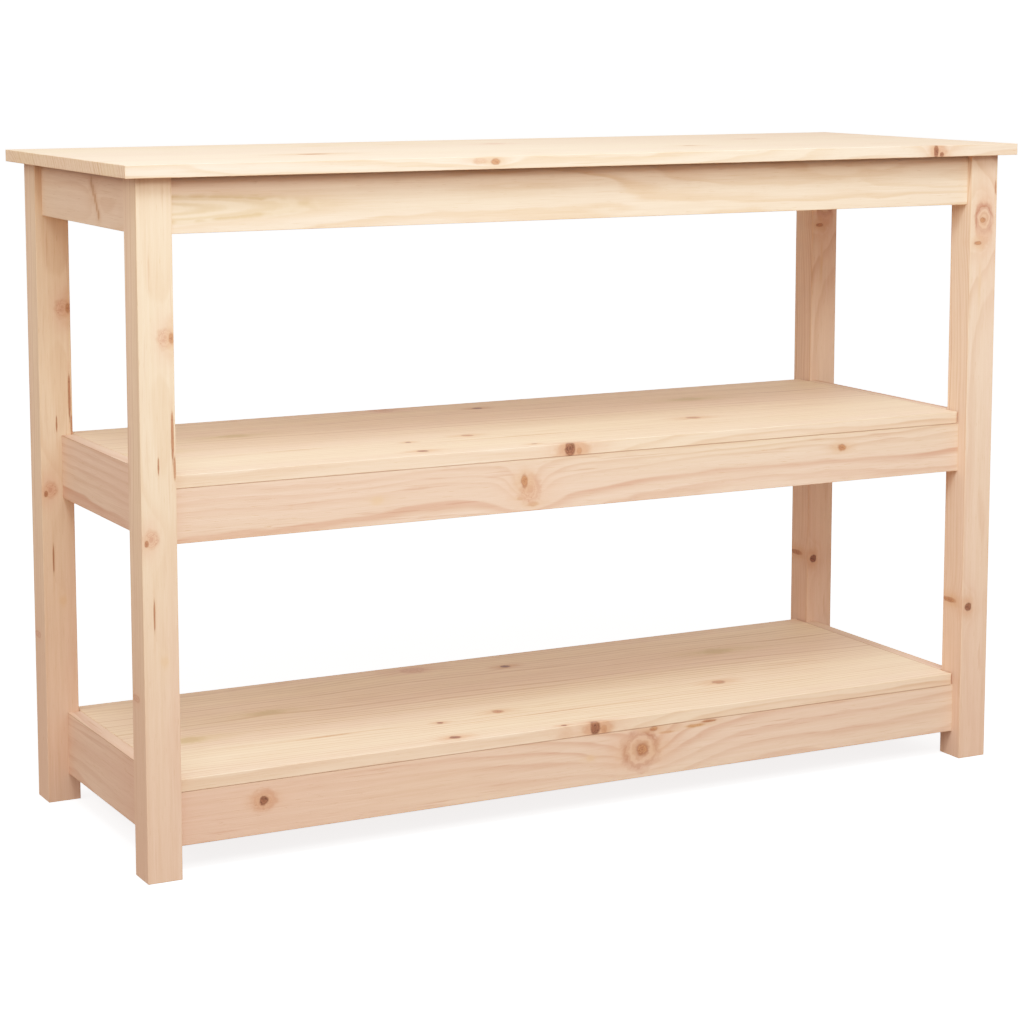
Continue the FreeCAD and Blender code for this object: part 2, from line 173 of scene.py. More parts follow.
# Noise in the pine: how many features there are to the metre along the grain and across it, what is added
# to the board's own seed, and how much finer detail there is.
GrainNoise = namedtuple("GrainNoise", "along across seed_step detail")
SLOW_WANDER = GrainNoise(1.7, 6.0, 0.0, 1.0)
QUICK_WANDER = GrainNoise(7.0, 38.0, 1.0, 2.0)
KNOT_OUTLINE = GrainNoise(150.0, 190.0, 3.0, 3.0)
KNOT_LUMPS = GrainNoise(45.0, 60.0, 3.5, 1.0)
KNOT_CRACKS = GrainNoise(110.0, 110.0, 3.8, 2.0)
PATCHES = GrainNoise(2.3, 22.0, 4.0, 2.0)
BROAD_TONE = GrainNoise(1.3, 9.0, 5.0, 2.0)
STREAKS = GrainNoise(5.0, 210.0, 6.0, 2.0)
FIBRES = GrainNoise(32.0, 1100.0, 7.0, 2.0)
RESIN_CANALS = GrainNoise(70.0, 1500.0, 8.0, 0.0)
END_PORE_NOISE = GrainNoise(300.0, 2200.0, 9.0, 1.0)
HAIRLINES = GrainNoise(15.0, 430.0, 10.0, 1.0)

# How a mark fades in: between which two values of what drives it, and from what strength to what.
Fade = namedtuple("Fade", "start end low high", defaults=(0.0, 1.0))
LATE_WOOD_PATCHES = Fade(0.25, 0.65, 0.55, 1.1)
PINK_ZONES = Fade(0.30, 0.75)
YELLOW_ZONES = Fade(0.60, 0.25)
CANALS_SHOW = Fade(0.74, 0.82)
HAIRLINES_SHOW = Fade(0.62, 0.74, 0.0, 0.42)
HAIRLINE_PATCHES = Fade(0.35, 0.65, 0.3, 1.0)
END_WOOD_SHOWS = Fade(0.35, 0.65)
WEAR_PATCHES = Fade(0.30, 0.70, 0.15, 0.55)
# These two are driven by how squarely the surface faces along the grain, or up or down.
END_GRAIN_SHOWS = Fade(0.5, 0.9)
UPRIGHT_FACE = Fade(0.80, 0.95, 1.0, 0.0)
# These are driven by the distance from a knot's middle, in radii, by its lumps, and by how near a crack is.
KNOT_EDGE = Fade(0.66, 0.90)
KNOT_RIM_PATCHES = Fade(0.35, 0.60, 0.25, 1.0)
KNOT_CORE = Fade(0.05, 0.35, 0.85, 0.0)
KNOT_CRACKS_SHOW = Fade(0.0, 0.035, 1.0, 0.0)

# How strongly each mark shows in the pine, from 0 to 1.
CANAL_STRENGTH = 0.45
WEAR_STRENGTH = 0.5
# The strength of the dark joint lines, and of the painted shadow under the tabletop's overhang.
SEAM_AND_SHADOW_STRENGTH = 0.55
# How far the wear reaches from an edge, and how near to it wear, seams and the painted shadow show in full,
# in metres.
WEAR_REACH = 0.0035
EDGE_CORE = 0.0003

# A year's growth: what share of it is over when the late wood starts, and when it is darkest.
LATE_START = 0.30
LATE_PEAK = 0.86
# The faintest year's share of full strength.
FAINTEST_YEAR = 0.30
# How far the years stray from an even spacing, in years, and how often they do so in a year.
YEAR_UNEVENNESS = 2.4
YEAR_UNEVENNESS_SCALE = 0.35
YEAR_SEED_STEP = 2.0
# The quick wander of the grain, as a share of the slow one.
QUICK_SHARE = 0.22
# Where the painted shade at the low end starts, as a share of the way from a board's middle to its high
# end.
PAINTED_LOW_SHADE_START = 0.4

# Streaks and fibres darken the timber: how much of its brightness each one carries, and the least that
# each one leaves.
STREAK_SHADE = 0.16
LEAST_STREAK_SHADE = 0.92
FIBRE_SHADE = 0.14
LEAST_FIBRE_SHADE = 0.93
# How much faster than red, green and blue darken.
GREEN_POWER = 1.5
BLUE_POWER = 2.0

# The swirl of the rings round a knot: its reach along, across and through the board, in the knot's radii.
SWIRL_REACH = (2.8, 1.6, 1.5)
# How much longer a knot's halo is along the grain, how much more ragged than its heart, and how far out in
# radii it starts to fade.
HALO_FLOW = 1.9
HALO_RAGGED = 1.4
HALO_START = 0.2
# A knot's outline: its small and large bumps, and what brings them back to the middle.
SMALL_BUMPS = 0.9
LARGE_BUMPS = 0.8
BUMPS_MIDDLE = -0.85
# The rings inside a knot: radians to the radius, how strong they are, and how dark on average.
KNOT_RING_TURNS = 19.0
KNOT_RING_DEPTH = 0.30
KNOT_RING_LEVEL = 0.22

# Roughness of plain early wood, and how each thing changes it.
PINE_ROUGHNESS = 0.60
LATE_WOOD_POLISH = -0.10
STREAK_ROUGHNESS = 0.10
KNOT_POLISH = -0.16
END_GRAIN_ROUGHNESS = 0.15
WEAR_POLISH = -0.12
# Height of the fibres' relief, in metres, and how deep the canals are in it.
PINE_RELIEF = 0.00016
CANAL_DEPTH = -0.6
PINE_SHINE = 0.42
TIMBER_IOR = 1.5


# --------------------------------------------------------------------------------------------------
# A short way to write shader nodes.
# --------------------------------------------------------------------------------------------------


# How far each unit of seed moves the noise along each axis, and how much weaker each finer layer of it is.
SEED_STEPS = (7.31, 3.17, 5.73)
NOISE_ROUGHNESS = 0.55
# The sockets of a Mix node that mixes colours.
MIX_SHARE = 0
MIX_FIRST = 6
MIX_SECOND = 7
MIX_RESULT = 2


class Graph:
    """The shader nodes of one material."""

    def __init__(self, name):
        self.material = bpy.data.materials.new(name)
        self.material.use_nodes = True
        self.tree = self.material.node_tree
        self.tree.nodes.clear()

    def node(self, kind, **settings):
        made = self.tree.nodes.new("ShaderNode" + kind)
        for key, value in settings.items():
            setattr(made, key, value)
        return made

    def feed(self, socket, value):
        """Links the socket to another one, or sets it to a plain value."""
        if isinstance(value, bpy.types.NodeSocket):
            self.tree.links.new(value, socket)
        elif isinstance(value, tuple) and len(value) == 3 and len(socket.default_value) == 4:
            socket.default_value = (*value, 1.0)
        else:
            socket.default_value = value

    def math(self, operation, *values):
        made = self.node("Math", operation=operation)
        for socket, value in zip(made.inputs, values):
            self.feed(socket, value)
        return made.outputs[0]

    def vector(self, operation, *values):
        made = self.node("VectorMath", operation=operation)
        for socket, value in zip(made.inputs, values):
            self.feed(socket, value)
        gives_number = operation in ("LENGTH", "DISTANCE", "DOT_PRODUCT")
        return made.outputs["Value" if gives_number else "Vector"]

    def split(self, vector):
        made = self.node("SeparateXYZ")
        self.feed(made.inputs[0], vector)
        return tuple(made.outputs)

    def join(self, x, y, z):
        made = self.node("CombineXYZ")
        for socket, value in zip(made.inputs, (x, y, z)):
            self.feed(socket, value)
        return made.outputs[0]

    def ramp(self, value, start, end, low=0.0, high=1.0):
        """Runs smoothly from low to high while the value goes from start to end."""
        made = self.node("MapRange", interpolation_type="SMOOTHSTEP")
        for socket, number in zip(made.inputs, (value, start, end, low, high)):
            self.feed(socket, number)
        return made.outputs[0]

    def noise(self, place, scales, seed, detail=2.0):
        """Noise from 0 to 1, with so many features to the metre along each axis."""
        shift = tuple(seed * step for step in SEED_STEPS)
        moved = self.vector("MULTIPLY_ADD", place, scales, shift)
        made = self.node("TexNoise", noise_dimensions="3D")
        self.feed(made.inputs["Vector"], moved)
        made.inputs["Scale"].default_value = 1.0
        made.inputs["Detail"].default_value = detail
        made.inputs["Roughness"].default_value = NOISE_ROUGHNESS
        return made.outputs["Fac"]

    def grain_noise(self, place, kind, seed):
        """Noise drawn out along a board's grain."""
        scales = (kind.along, kind.across, kind.across)
        return self.noise(place, scales, seed + kind.seed_step, kind.detail)

    def mix(self, share, first, second, blend="MIX"):
        made = self.node("Mix", data_type="RGBA", blend_type=blend)
        self.feed(made.inputs[MIX_SHARE], share)
        self.feed(made.inputs[MIX_FIRST], first)
        self.feed(made.inputs[MIX_SECOND], second)
        return made.outputs[MIX_RESULT]

    def finish(self, colour, roughness, height, bump_depth, **constants):
        """Ends the graph in one shader. Height is the relief, and bump_depth how deep it is, in metres."""
        shader = self.node("BsdfPrincipled")
        bump = self.node("Bump")
        bump.inputs["Strength"].default_value = 1.0
        bump.inputs["Distance"].default_value = bump_depth
        self.feed(bump.inputs["Height"], height)
        self.feed(shader.inputs["Base Color"], colour)
        self.feed(shader.inputs["Roughness"], roughness)
        self.feed(shader.inputs["Normal"], bump.outputs[0])
        for name, value in constants.items():
            shader.inputs[name.replace("_", " ")].default_value = value
        output = self.node("OutputMaterial")
        self.tree.links.new(shader.outputs[0], output.inputs[0])
        return self.material


# --------------------------------------------------------------------------------------------------
# Pine.
# --------------------------------------------------------------------------------------------------


def board_place(graph, box, grain, across):
    """Place in a board, from its middle: along the grain, across its face and through it."""
    low, high = box
    middle = (low + high) / 2
    object_place = graph.node("TexCoord").outputs["Object"]
    by_axis = dict(zip("XYZ", graph.split(graph.vector("SUBTRACT", object_place, tuple(middle)))))
    depth = next(axis for axis in "XYZ" if axis not in (grain, across))
    return graph.join(by_axis[grain], by_axis[across], by_axis[depth])


def offset_in_radii(graph, place, knot, radii):
    """Where a place is from the knot's middle, as a share of these radii."""
    scales = tuple(1 / radius for radius in radii)
    middle = (knot.along, knot.across, knot.depth)
    shift = tuple(-length * scale for length, scale in zip(middle, scales))
    return graph.vector("MULTIPLY_ADD", place, scales, shift)


def knot_distance(graph, place, knot, flow=1.0):
    """Distance from the knot's middle, in knot radii. Flow above 1 draws it out along the grain."""
    radii = (knot.size * knot.stretch * flow, knot.size, knot.through)
    return graph.vector("LENGTH", offset_in_radii(graph, place, knot, radii))


def ring_lift(graph, place, knot):
    """How far the knot pushes the growth rings, in metres, in a swirl that is longer along the grain."""
    radii = (knot.size * knot.stretch, knot.size, knot.through)
    reach = tuple(radius * times for radius, times in zip(radii, SWIRL_REACH))
    distance = graph.vector("LENGTH", offset_in_radii(graph, place, knot, reach))
    fall = graph.math("EXPONENT", graph.math("MULTIPLY", distance, -1.0))
    return graph.math("MULTIPLY", fall, knot.size * knot.lift)


def ring_distance(graph, place, timber, knots, seed):
    """Distance from the tree's heart, in metres, with the grain's wander and the swirls round the knots."""
    section = graph.vector("MULTIPLY", place, (0.0, 1.0, 1.0))
    distance = graph.vector("DISTANCE", section, (0.0, *timber.pith))
    along = graph.split(place)[0]
    distance = graph.math("MULTIPLY_ADD", along, -timber.taper, distance)
    slow = graph.grain_noise(place, SLOW_WANDER, seed)
    distance = graph.math("MULTIPLY_ADD", slow, timber.wander, distance)
    quick = graph.grain_noise(place, QUICK_WANDER, seed)
    distance = graph.math("MULTIPLY_ADD", quick, timber.wander * QUICK_SHARE, distance)
    for knot in knots:
        distance = graph.math("ADD", distance, ring_lift(graph, place, knot))
    return distance


def year_lines(graph, distance, timber, seed):
    """Darkness of the late wood, from 0 to 1. Each year darkens slowly and ends sharply."""
    scales = (YEAR_UNEVENNESS_SCALE / timber.spacing, 1.0, 1.0)
    uneven = graph.noise(graph.join(distance, 0.0, 0.0), scales, seed + YEAR_SEED_STEP, detail=1.0)
    shift = graph.math("MULTIPLY", uneven, YEAR_UNEVENNESS)
    years = graph.math("MULTIPLY_ADD", distance, 1 / timber.spacing, shift)
    part = graph.math("FRACT", years)
    whole = graph.math("FLOOR", years)
    strength = graph.node("TexWhiteNoise", noise_dimensions="1D")
    graph.feed(strength.inputs["W"], graph.math("ADD", whole, seed))
    slow_rise = graph.ramp(part, LATE_START, LATE_PEAK)
    sharp_end = graph.ramp(part, LATE_PEAK, 1.0, low=1.0, high=0.0)
    line = graph.math("MULTIPLY", slow_rise, sharp_end)
    varied = graph.math("MULTIPLY_ADD", strength.outputs[0], 1.0 - FAINTEST_YEAR, FAINTEST_YEAR)
    return graph.math("MULTIPLY", line, varied)


def nearest_of(graph, distances):
    nearest = distances[0]
    for distance in distances[1:]:
        nearest = graph.math("MINIMUM", nearest, distance)
    return nearest


def knot_heart(graph, look, nearest, lumpy, cracks):
    """Colour inside a knot: rings, a patchy rim, and a dark core with cracks where the knot has them."""
    turns = graph.math("SINE", graph.math("MULTIPLY", nearest, KNOT_RING_TURNS))
    rings = graph.math("MULTIPLY_ADD", turns, KNOT_RING_DEPTH, KNOT_RING_LEVEL)
    edge = graph.ramp(nearest, *KNOT_EDGE)
    rim = graph.math("MULTIPLY", edge, graph.ramp(lumpy, *KNOT_RIM_PATCHES))
    dark = graph.math("MAXIMUM", rings, rim)
    if look.cracked:
        core = graph.ramp(nearest, *KNOT_CORE)
        dark = graph.math("MAXIMUM", dark, graph.math("MAXIMUM", core, cracks))
    return graph.mix(dark, look.heart, look.rim)


def paint_knots(graph, colour, place, knots, seed):
    """Paints each kind of knot over the timber. Gives the colour and the share of it that is knot."""
    ragged = graph.grain_noise(place, KNOT_OUTLINE, seed)
    lumpy = graph.grain_noise(place, KNOT_LUMPS, seed)
    crack_noise = graph.grain_noise(place, KNOT_CRACKS, seed)
    # Cracks run where the noise crosses its middle value.
    from_crack = graph.math("ABSOLUTE", graph.math("SUBTRACT", crack_noise, 0.5))
    cracks = graph.ramp(from_crack, *KNOT_CRACKS_SHOW)
    large_bumps = graph.math("MULTIPLY_ADD", lumpy, LARGE_BUMPS, BUMPS_MIDDLE)
    roughen = graph.math("MULTIPLY_ADD", ragged, SMALL_BUMPS, large_bumps)
    covered = 0.0
    for kind, look in KNOT_PAINTS.items():
        group = [knot for knot in knots if knot.kind == kind]
        if look is None or not group:
            continue
        nearest = nearest_of(graph, [knot_distance(graph, place, knot) for knot in group])
        flowing = nearest_of(graph, [knot_distance(graph, place, knot, HALO_FLOW) for knot in group])
        nearest = graph.math("MULTIPLY_ADD", roughen, look.ragged, nearest)
        flowing = graph.math("MULTIPLY_ADD", roughen, HALO_RAGGED * look.ragged, flowing)
        halo = graph.ramp(flowing, HALO_START, look.reach, low=look.halo_strength, high=0.0)
        colour = graph.mix(halo, colour, look.halo)
        half_edge = 0.5 * look.softness
        inside = graph.ramp(nearest, 1.0 - half_edge, 1.0 + half_edge, low=look.heart_strength, high=0.0)
        colour = graph.mix(inside, colour, knot_heart(graph, look, nearest, lumpy, cracks))
        covered = graph.math("MAXIMUM", inside, covered)
    return colour, covered


def edge_nearness(graph, box):
    """1 on the board's edges, and 0 beyond the reach of the wear."""
    low, high = box
    object_place = graph.node("TexCoord").outputs["Object"]
    below = graph.vector("SUBTRACT", object_place, tuple(low))
    above = graph.vector("SUBTRACT", tuple(high), object_place)
    x, y, z = graph.split(graph.vector("MINIMUM", below, above))
    largest = graph.math("MAXIMUM", graph.math("MAXIMUM", x, y), z)
    smallest = graph.math("MINIMUM", graph.math("MINIMUM", x, y), z)
    total = graph.math("ADD", graph.math("ADD", x, y), z)
    middle = graph.math("SUBTRACT", graph.math("SUBTRACT", total, largest), smallest)
    return graph.ramp(middle, EDGE_CORE, WEAR_REACH, low=1.0, high=0.0)


def seam_and_shadow_nearness(graph, box, seam_and_shadow, normal):
    """1 on an upright face where the board meets its neighbour, and 0 out of the seam's reach. Used for
    dark joint lines, and for painted shadow under an overhang.
    """
    low, high = box
    height = graph.split(graph.node("TexCoord").outputs["Object"])[2]
    edge = high[2] if seam_and_shadow.end == "top" else low[2]
    away = graph.math("ABSOLUTE", graph.math("SUBTRACT", height, edge))
    near = graph.ramp(away, EDGE_CORE, seam_and_shadow.reach, low=1.0, high=0.0)
    level = graph.math("ABSOLUTE", graph.split(normal)[2])
    return graph.math("MULTIPLY", near, graph.ramp(level, *UPRIGHT_FACE))


def shift_tones(graph, colour, place, timber, seed):
    """Broad zones of pinker and of yellower timber."""
    broad = graph.grain_noise(place, BROAD_TONE, seed)
    pinker = graph.ramp(broad, *PINK_ZONES._replace(high=timber.tone_shift))
    colour = graph.mix(pinker, colour, ROSE)
    yellower = graph.ramp(broad, *YELLOW_ZONES._replace(high=timber.tone_shift))
    return graph.mix(yellower, colour, STRAW)


def paint_low_end_shade(graph, colour, place, timber, box, grain):
    """Painted shade: darkens and reddens the timber towards the low end of the board: its bottom, or its
    left or front end.
    """
    if not timber.blush:
        return colour
    axis = "XYZ".index(grain)
    half_length = (box[1][axis] - box[0][axis]) / 2
    along = graph.split(place)[0]
    blush = graph.ramp(along, PAINTED_LOW_SHADE_START * half_length, -half_length, high=timber.blush)
    return graph.mix(blush, colour, PAINTED_SHADE_ROSE)


def shade_fibres(graph, colour, streaky, fibres):
    """Light and dark streaks and fibres. The darker they are, the redder."""
    shade = graph.math("MULTIPLY_ADD", streaky, STREAK_SHADE, LEAST_STREAK_SHADE)
    fibre_shade = graph.math("MULTIPLY_ADD", fibres, FIBRE_SHADE, LEAST_FIBRE_SHADE)
    shade = graph.math("MULTIPLY", shade, fibre_shade)
    green = graph.math("POWER", shade, GREEN_POWER)
    blue = graph.math("POWER", shade, BLUE_POWER)
    return graph.vector("MULTIPLY", colour, graph.join(shade, green, blue))


def end_grain_share(graph, normal, grain):
    """1 on the board's sawn ends and 0 on its faces."""
    grain_axis = tuple(1.0 if axis == grain else 0.0 for axis in "XYZ")
    facing = graph.math("ABSOLUTE", graph.vector("DOT_PRODUCT", normal, grain_axis))
    return graph.ramp(facing, *END_GRAIN_SHOWS)


def pine(node, grain, across, timber, knots=(), seed=0.0, seam_and_shadow=None):
    """Planed, unfinished pine for one board. Grain and across are its axes along its grain and its face."""
    graph = Graph(node)
    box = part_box(node)
    place = board_place(graph, box, grain, across)
    normal = graph.node("NewGeometry").outputs["Normal"]
    patchy = graph.grain_noise(place, PATCHES, seed)
    streaky = graph.grain_noise(place, STREAKS, seed)
    fibres = graph.grain_noise(place, FIBRES, seed)

    late = year_lines(graph, ring_distance(graph, place, timber, knots, seed), timber, seed)
    late = graph.math("MULTIPLY", late, graph.ramp(patchy, *LATE_WOOD_PATCHES))
    colour = graph.mix(graph.math("MULTIPLY", late, timber.contrast), timber.early, timber.late)
    colour = shift_tones(graph, colour, place, timber, seed)
    colour = paint_low_end_shade(graph, colour, place, timber, box, grain)
    colour = shade_fibres(graph, colour, streaky, fibres)

    canals = graph.ramp(graph.grain_noise(place, RESIN_CANALS, seed), *CANALS_SHOW)
    colour = graph.mix(graph.math("MULTIPLY", canals, CANAL_STRENGTH), colour, AMBER)

    hairlines = graph.ramp(graph.grain_noise(place, HAIRLINES, seed), *HAIRLINES_SHOW)
    hairlines = graph.math("MULTIPLY", hairlines, graph.ramp(patchy, *HAIRLINE_PATCHES))
    colour = graph.mix(hairlines, colour, timber.late)

    knotty = 0.0
    if knots:
        colour, knotty = paint_knots(graph, colour, place, knots, seed)

    end_grain = end_grain_share(graph, normal, grain)
    between_pores = graph.ramp(graph.grain_noise(place, END_PORE_NOISE, seed), *END_WOOD_SHOWS)
    end_shade = graph.mix(between_pores, END_PORES, END_WOOD)
    colour = graph.mix(end_grain, colour, graph.mix(1.0, colour, end_shade, "MULTIPLY"))

    worn = graph.math("MULTIPLY", edge_nearness(graph, box), graph.ramp(patchy, *WEAR_PATCHES))
    colour = graph.mix(graph.math("MULTIPLY", worn, WEAR_STRENGTH), colour, HONEY)

    # Dark joint lines, and on the aprons painted shadow under the tabletop's overhang, in dark brown.
    if seam_and_shadow:
        joint_and_shadow = seam_and_shadow_nearness(graph, box, seam_and_shadow, normal)
        colour = graph.mix(graph.math("MULTIPLY", joint_and_shadow, SEAM_AND_SHADOW_STRENGTH), colour, BARK_BROWN)

    roughness = PINE_ROUGHNESS
    for share, change in (
        (late, LATE_WOOD_POLISH),
        (streaky, STREAK_ROUGHNESS),
        (knotty, KNOT_POLISH),
        (end_grain, END_GRAIN_ROUGHNESS),
        (worn, WEAR_POLISH),
    ):
        roughness = graph.math("MULTIPLY_ADD", share, change, roughness)

    relief = graph.math("MULTIPLY_ADD", canals, CANAL_DEPTH, fibres)
    shine = {"Specular_IOR_Level": PINE_SHINE, "IOR": TIMBER_IOR}
    return graph.finish(colour, roughness, relief, PINE_RELIEF, **shine)


# --------------------------------------------------------------------------------------------------
# One function for each kind of board.
# --------------------------------------------------------------------------------------------------


def paint(node, material):
    """Gives the CAD node's own material slots the material."""
    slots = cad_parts[node].material_slots
    if not slots:
        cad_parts[node].data.materials.append(material)
    for slot in slots:
        slot.material = material


TABLETOP_KNOTS = (
    Knot("live", -0.290, -0.066, 0.012, 1.3),
    Knot("stain", -0.211, 0.117, 0.011, 1.2),
    Knot("stain", -0.111, 0.118, 0.009, 2.0),
    Knot("pink", -0.002, 0.075, 0.010, 1.2),
    Knot("live", 0.175, -0.075, 0.006, 1.2),
    Knot("pink", 0.339, 0.058, 0.008, 2.0),
    Knot("stain", -0.065, -0.146, 0.007, 1.3),
    Knot("live", -0.140, -0.200, 0.0045, 1.2, 0.001, 0.0035),
    Knot("pink", -0.158, -0.200, 0.005, 1.6, 0.002, 0.003),
    Knot("dead", 0.432, -0.200, 0.0060, 0.50, 0.000, 0.0080),
    Knot("dead", 0.440, -0.200, 0.0040, 0.70, -0.004, 0.0030),
    Knot("pink", 0.437, -0.200, 0.0060, 1.7, 0.000, 0.0070),
)


def tabletop_pine(node, seed):
    timber = Timber(
        early=PALE_CREAM,
        late=(0.58, 0.31, 0.15),
        spacing=0.0068,
        contrast=0.90,
        pith=(0.30, -0.20),
        taper=0.006,
        wander=0.045,
        tone_shift=0.45,
    )
    paint(node, pine(node, "X", "Y", timber, TABLETOP_KNOTS, seed))


SHELF_KNOTS = (
    Knot("dead", -0.154, -0.090, 0.0035, 1.0, lift=2.0),
    Knot("live", -0.074, -0.076, 0.006, 1.1, lift=2.0),
    Knot("live", 0.222, -0.076, 0.0075, 1.1, lift=2.6),
    Knot("dead", -0.166, -0.153, 0.0055, 1.2, lift=1.5),
    Knot("dead", -0.036, -0.164, 0.0028, 1.3),
    Knot("dead", 0.033, 0.111, 0.0055, 1.1, lift=3.0),
    Knot("pink", -0.075, 0.146, 0.012, 1.3),
    Knot("olive", 0.302, 0.061, 0.012, 1.8, lift=1.5),
    Knot("olive", -0.308, 0.040, 0.009, 2.0),
    Knot("olive", -0.429, -0.029, 0.011, 1.6),
    Knot("streak", -0.288, -0.084, 0.0016, 22.0),
    Knot("streak", -0.010, -0.106, 0.0016, 28.0),
)
# Knots on the front edge of a shelf.
SHELF_EDGE_KNOTS = (
    Knot("dead", 0.001, -0.1685, 0.0055, 1.1, 0.001, 0.0088, 1.5),
    Knot("live", 0.0125, -0.169, 0.0034, 1.0, -0.002, 0.0042, 1.0),
    Knot("pink", 0.006, -0.169, 0.0080, 2.4, 0.001, 0.0085, 0.5),
)


def shelf_pine(node, slide_along, slide_across, seed):
    """Both shelves show one board's figure, slid a little along and across. Edge knots stay on the edge."""
    timber = Timber(
        early=(0.84, 0.585, 0.375),
        late=(0.50, 0.235, 0.11),
        spacing=0.0065,
        contrast=1.0,
        pith=(0.30, -0.18),
        taper=0.008,
        wander=0.045,
        tone_shift=0.60,
    )
    knots = [knot._replace(across=knot.across + slide_across) for knot in SHELF_KNOTS]
    knots.extend(SHELF_EDGE_KNOTS)
    knots = [knot._replace(along=knot.along + slide_along) for knot in knots]
    paint(node, pine(node, "X", "Y", timber, knots, seed, Seam("bottom", THIN_SEAM)))


LEFT_LEG_KNOTS = (
    Knot("pink", 0.202, 0.010, 0.009, 1.1, -0.019, 0.012, 1.6),
    Knot("crack", 0.100, 0.0155, 0.0016, 16.0, -0.019, 0.008, 1.0),
    Knot("crack", 0.068, 0.0175, 0.0014, 9.0, -0.019, 0.008, 1.0),
    Knot("crack", 0.072, 0.000, 0.0010, 9.0, -0.019, 0.005, 1.0),
    Knot("pink", -0.003, -0.009, 0.0080, 1.1, -0.019, 0.014, 1.8),
    Knot("crack", -0.007, -0.0140, 0.0022, 1.6, -0.019, 0.008, 0.4),
    Knot("live", 0.201, 0.0165, 0.0032, 1.6, -0.019, 0.008, 1.2),
    Knot("crack", -0.082, -0.007, 0.0010, 18.0, -0.019, 0.005, 1.0),
    Knot("stain", -0.131, 0.003, 0.004, 1.5, -0.019, 0.010, 1.0),
    Knot("pink", -0.172, -0.019, 0.007, 0.50, 0.007, 0.0100, 1.2),
)
RIGHT_LEG_KNOTS = (
    Knot("ringed", 0.289, 0.000, 0.0130, 1.35, -0.019, 0.014, 1.6),
    Knot("pink", 0.284, 0.000, 0.0120, 2.2, -0.019, 0.014, 0.6),
    Knot("pink", 0.302, -0.006, 0.0050, 1.0, -0.019, 0.008, 0.4),
    Knot("live", 0.287, -0.001, 0.0042, 0.8, -0.019, 0.010, 0.4),
    Knot("live", 0.260, -0.008, 0.0055, 0.45, -0.019, 0.010, 1.4),
    Knot("crack", 0.325, 0.016, 0.0011, 7.0, -0.019, 0.006, 1.0),
    Knot("stain", 0.212, -0.004, 0.0018, 12.0, -0.019, 0.008, 1.0),
    Knot("dead", -0.177, -0.010, 0.0052, 1.0, -0.019, 0.012, 1.8),
    Knot("live", -0.172, -0.019, 0.010, 0.30, 0.007, 0.012, 0.9),
)


def leg_pine(node, knots, seed):
    timber = Timber(
        early=(0.762, 0.505, 0.340),
        late=(0.47, 0.20, 0.11),
        spacing=0.0056,
        contrast=1.0,
        pith=(0.012, 0.060),
        taper=0.012,
        wander=0.026,
        tone_shift=0.60,
        # The legs are painted darker and redder towards their feet, as painted shade.
        blush=0.75,
    )
    paint(node, pine(node, "Z", "X", timber, knots, seed))


FRONT_APRON_KNOTS = (
    Knot("clear", -0.475, -0.007, 0.0110, 6.0, -0.008, 0.02, 2.6),
    Knot("arch", -0.540, -0.004, 0.0150, 13.8, -0.008, 0.03, 0.6),
    Knot("clear", -0.110, 0.010, 0.0070, 7.0, -0.008, 0.02, 1.6),
    Knot("clear", 0.500, -0.020, 0.0120, 12.0, -0.008, 0.02, 1.8),
)


def apron_pine(node, grain, knots, seed):
    timber = Timber(
        early=(0.82, 0.58, 0.39),
        late=(0.62, 0.35, 0.18),
        spacing=0.0070,
        contrast=0.80,
        pith=(-0.005, 0.075),
        taper=0.012,
        wander=0.035,
        tone_shift=0.45,
    )
    # The aprons' wide top band is painted shadow under the tabletop's overhang.
    paint(node, pine(node, grain, "Z", timber, knots, seed, Seam("top", PAINTED_OVERHANG_SHADOW)))


LEFT_APRON_KNOTS = (
    Knot("streak", -0.025, 0.016, 0.0060, 0.45, -0.008, 0.010, 0.6),
    Knot("streak", -0.030, 0.008, 0.0060, 0.45, -0.008, 0.010, 0.6),
    Knot("streak", -0.036, 0.000, 0.0060, 0.45, -0.008, 0.010, 0.6),
    Knot("streak", -0.041, -0.008, 0.0060, 0.45, -0.008, 0.010, 0.6),
    Knot("streak", -0.046, -0.016, 0.0060, 0.45, -0.008, 0.010, 0.6),
)
MIDDLE_RAIL_KNOTS = (
    Knot("live", -0.089, 0.005, 0.0075, 0.55, -0.008, 0.02, 3.0),
    Knot("pink", -0.082, -0.004, 0.0150, 0.85, -0.008, 0.02, 1.2),
    Knot("streak", -0.078, -0.021, 0.0028, 2.2, -0.008, 0.01, 1.0),
    Knot("streak", -0.094, -0.014, 0.0018, 2.6, -0.008, 0.01, 1.0),
    Knot("live", 0.329, 0.012, 0.0040, 1.3, -0.008, 0.01, 1.6),
    Knot("stain", -0.265, -0.002, 0.0045, 1.5, -0.008, 0.01, 1.2),
)
LOWER_RAIL_KNOTS = (
    Knot("dead", -0.399, 0.008, 0.0050, 1.0, -0.008, 0.02, 2.4),
    Knot("pink", -0.398, 0.008, 0.0110, 1.2, -0.008, 0.02, 0.6),
    Knot("ringed", 0.060, 0.004, 0.0235, 1.05, -0.008, 0.03, 1.5),
    Knot("live", 0.062, 0.004, 0.0075, 1.2, -0.008, 0.02, 0.4),
    Knot("live", 0.077, 0.026, 0.0030, 1.7, -0.008, 0.01, 0.6),
    Knot("streak", 0.094, 0.020, 0.0014, 7.0, -0.008, 0.01, 0.8),
    Knot("streak", 0.132, 0.023, 0.0020, 6.0, -0.008, 0.01, 1.0),
    Knot("crack", 0.151, 0.0262, 0.0014, 7.0, -0.008, 0.01, 0.6),
    Knot("stain", -0.005, 0.002, 0.0035, 1.4, -0.008, 0.01, 1.2),
)


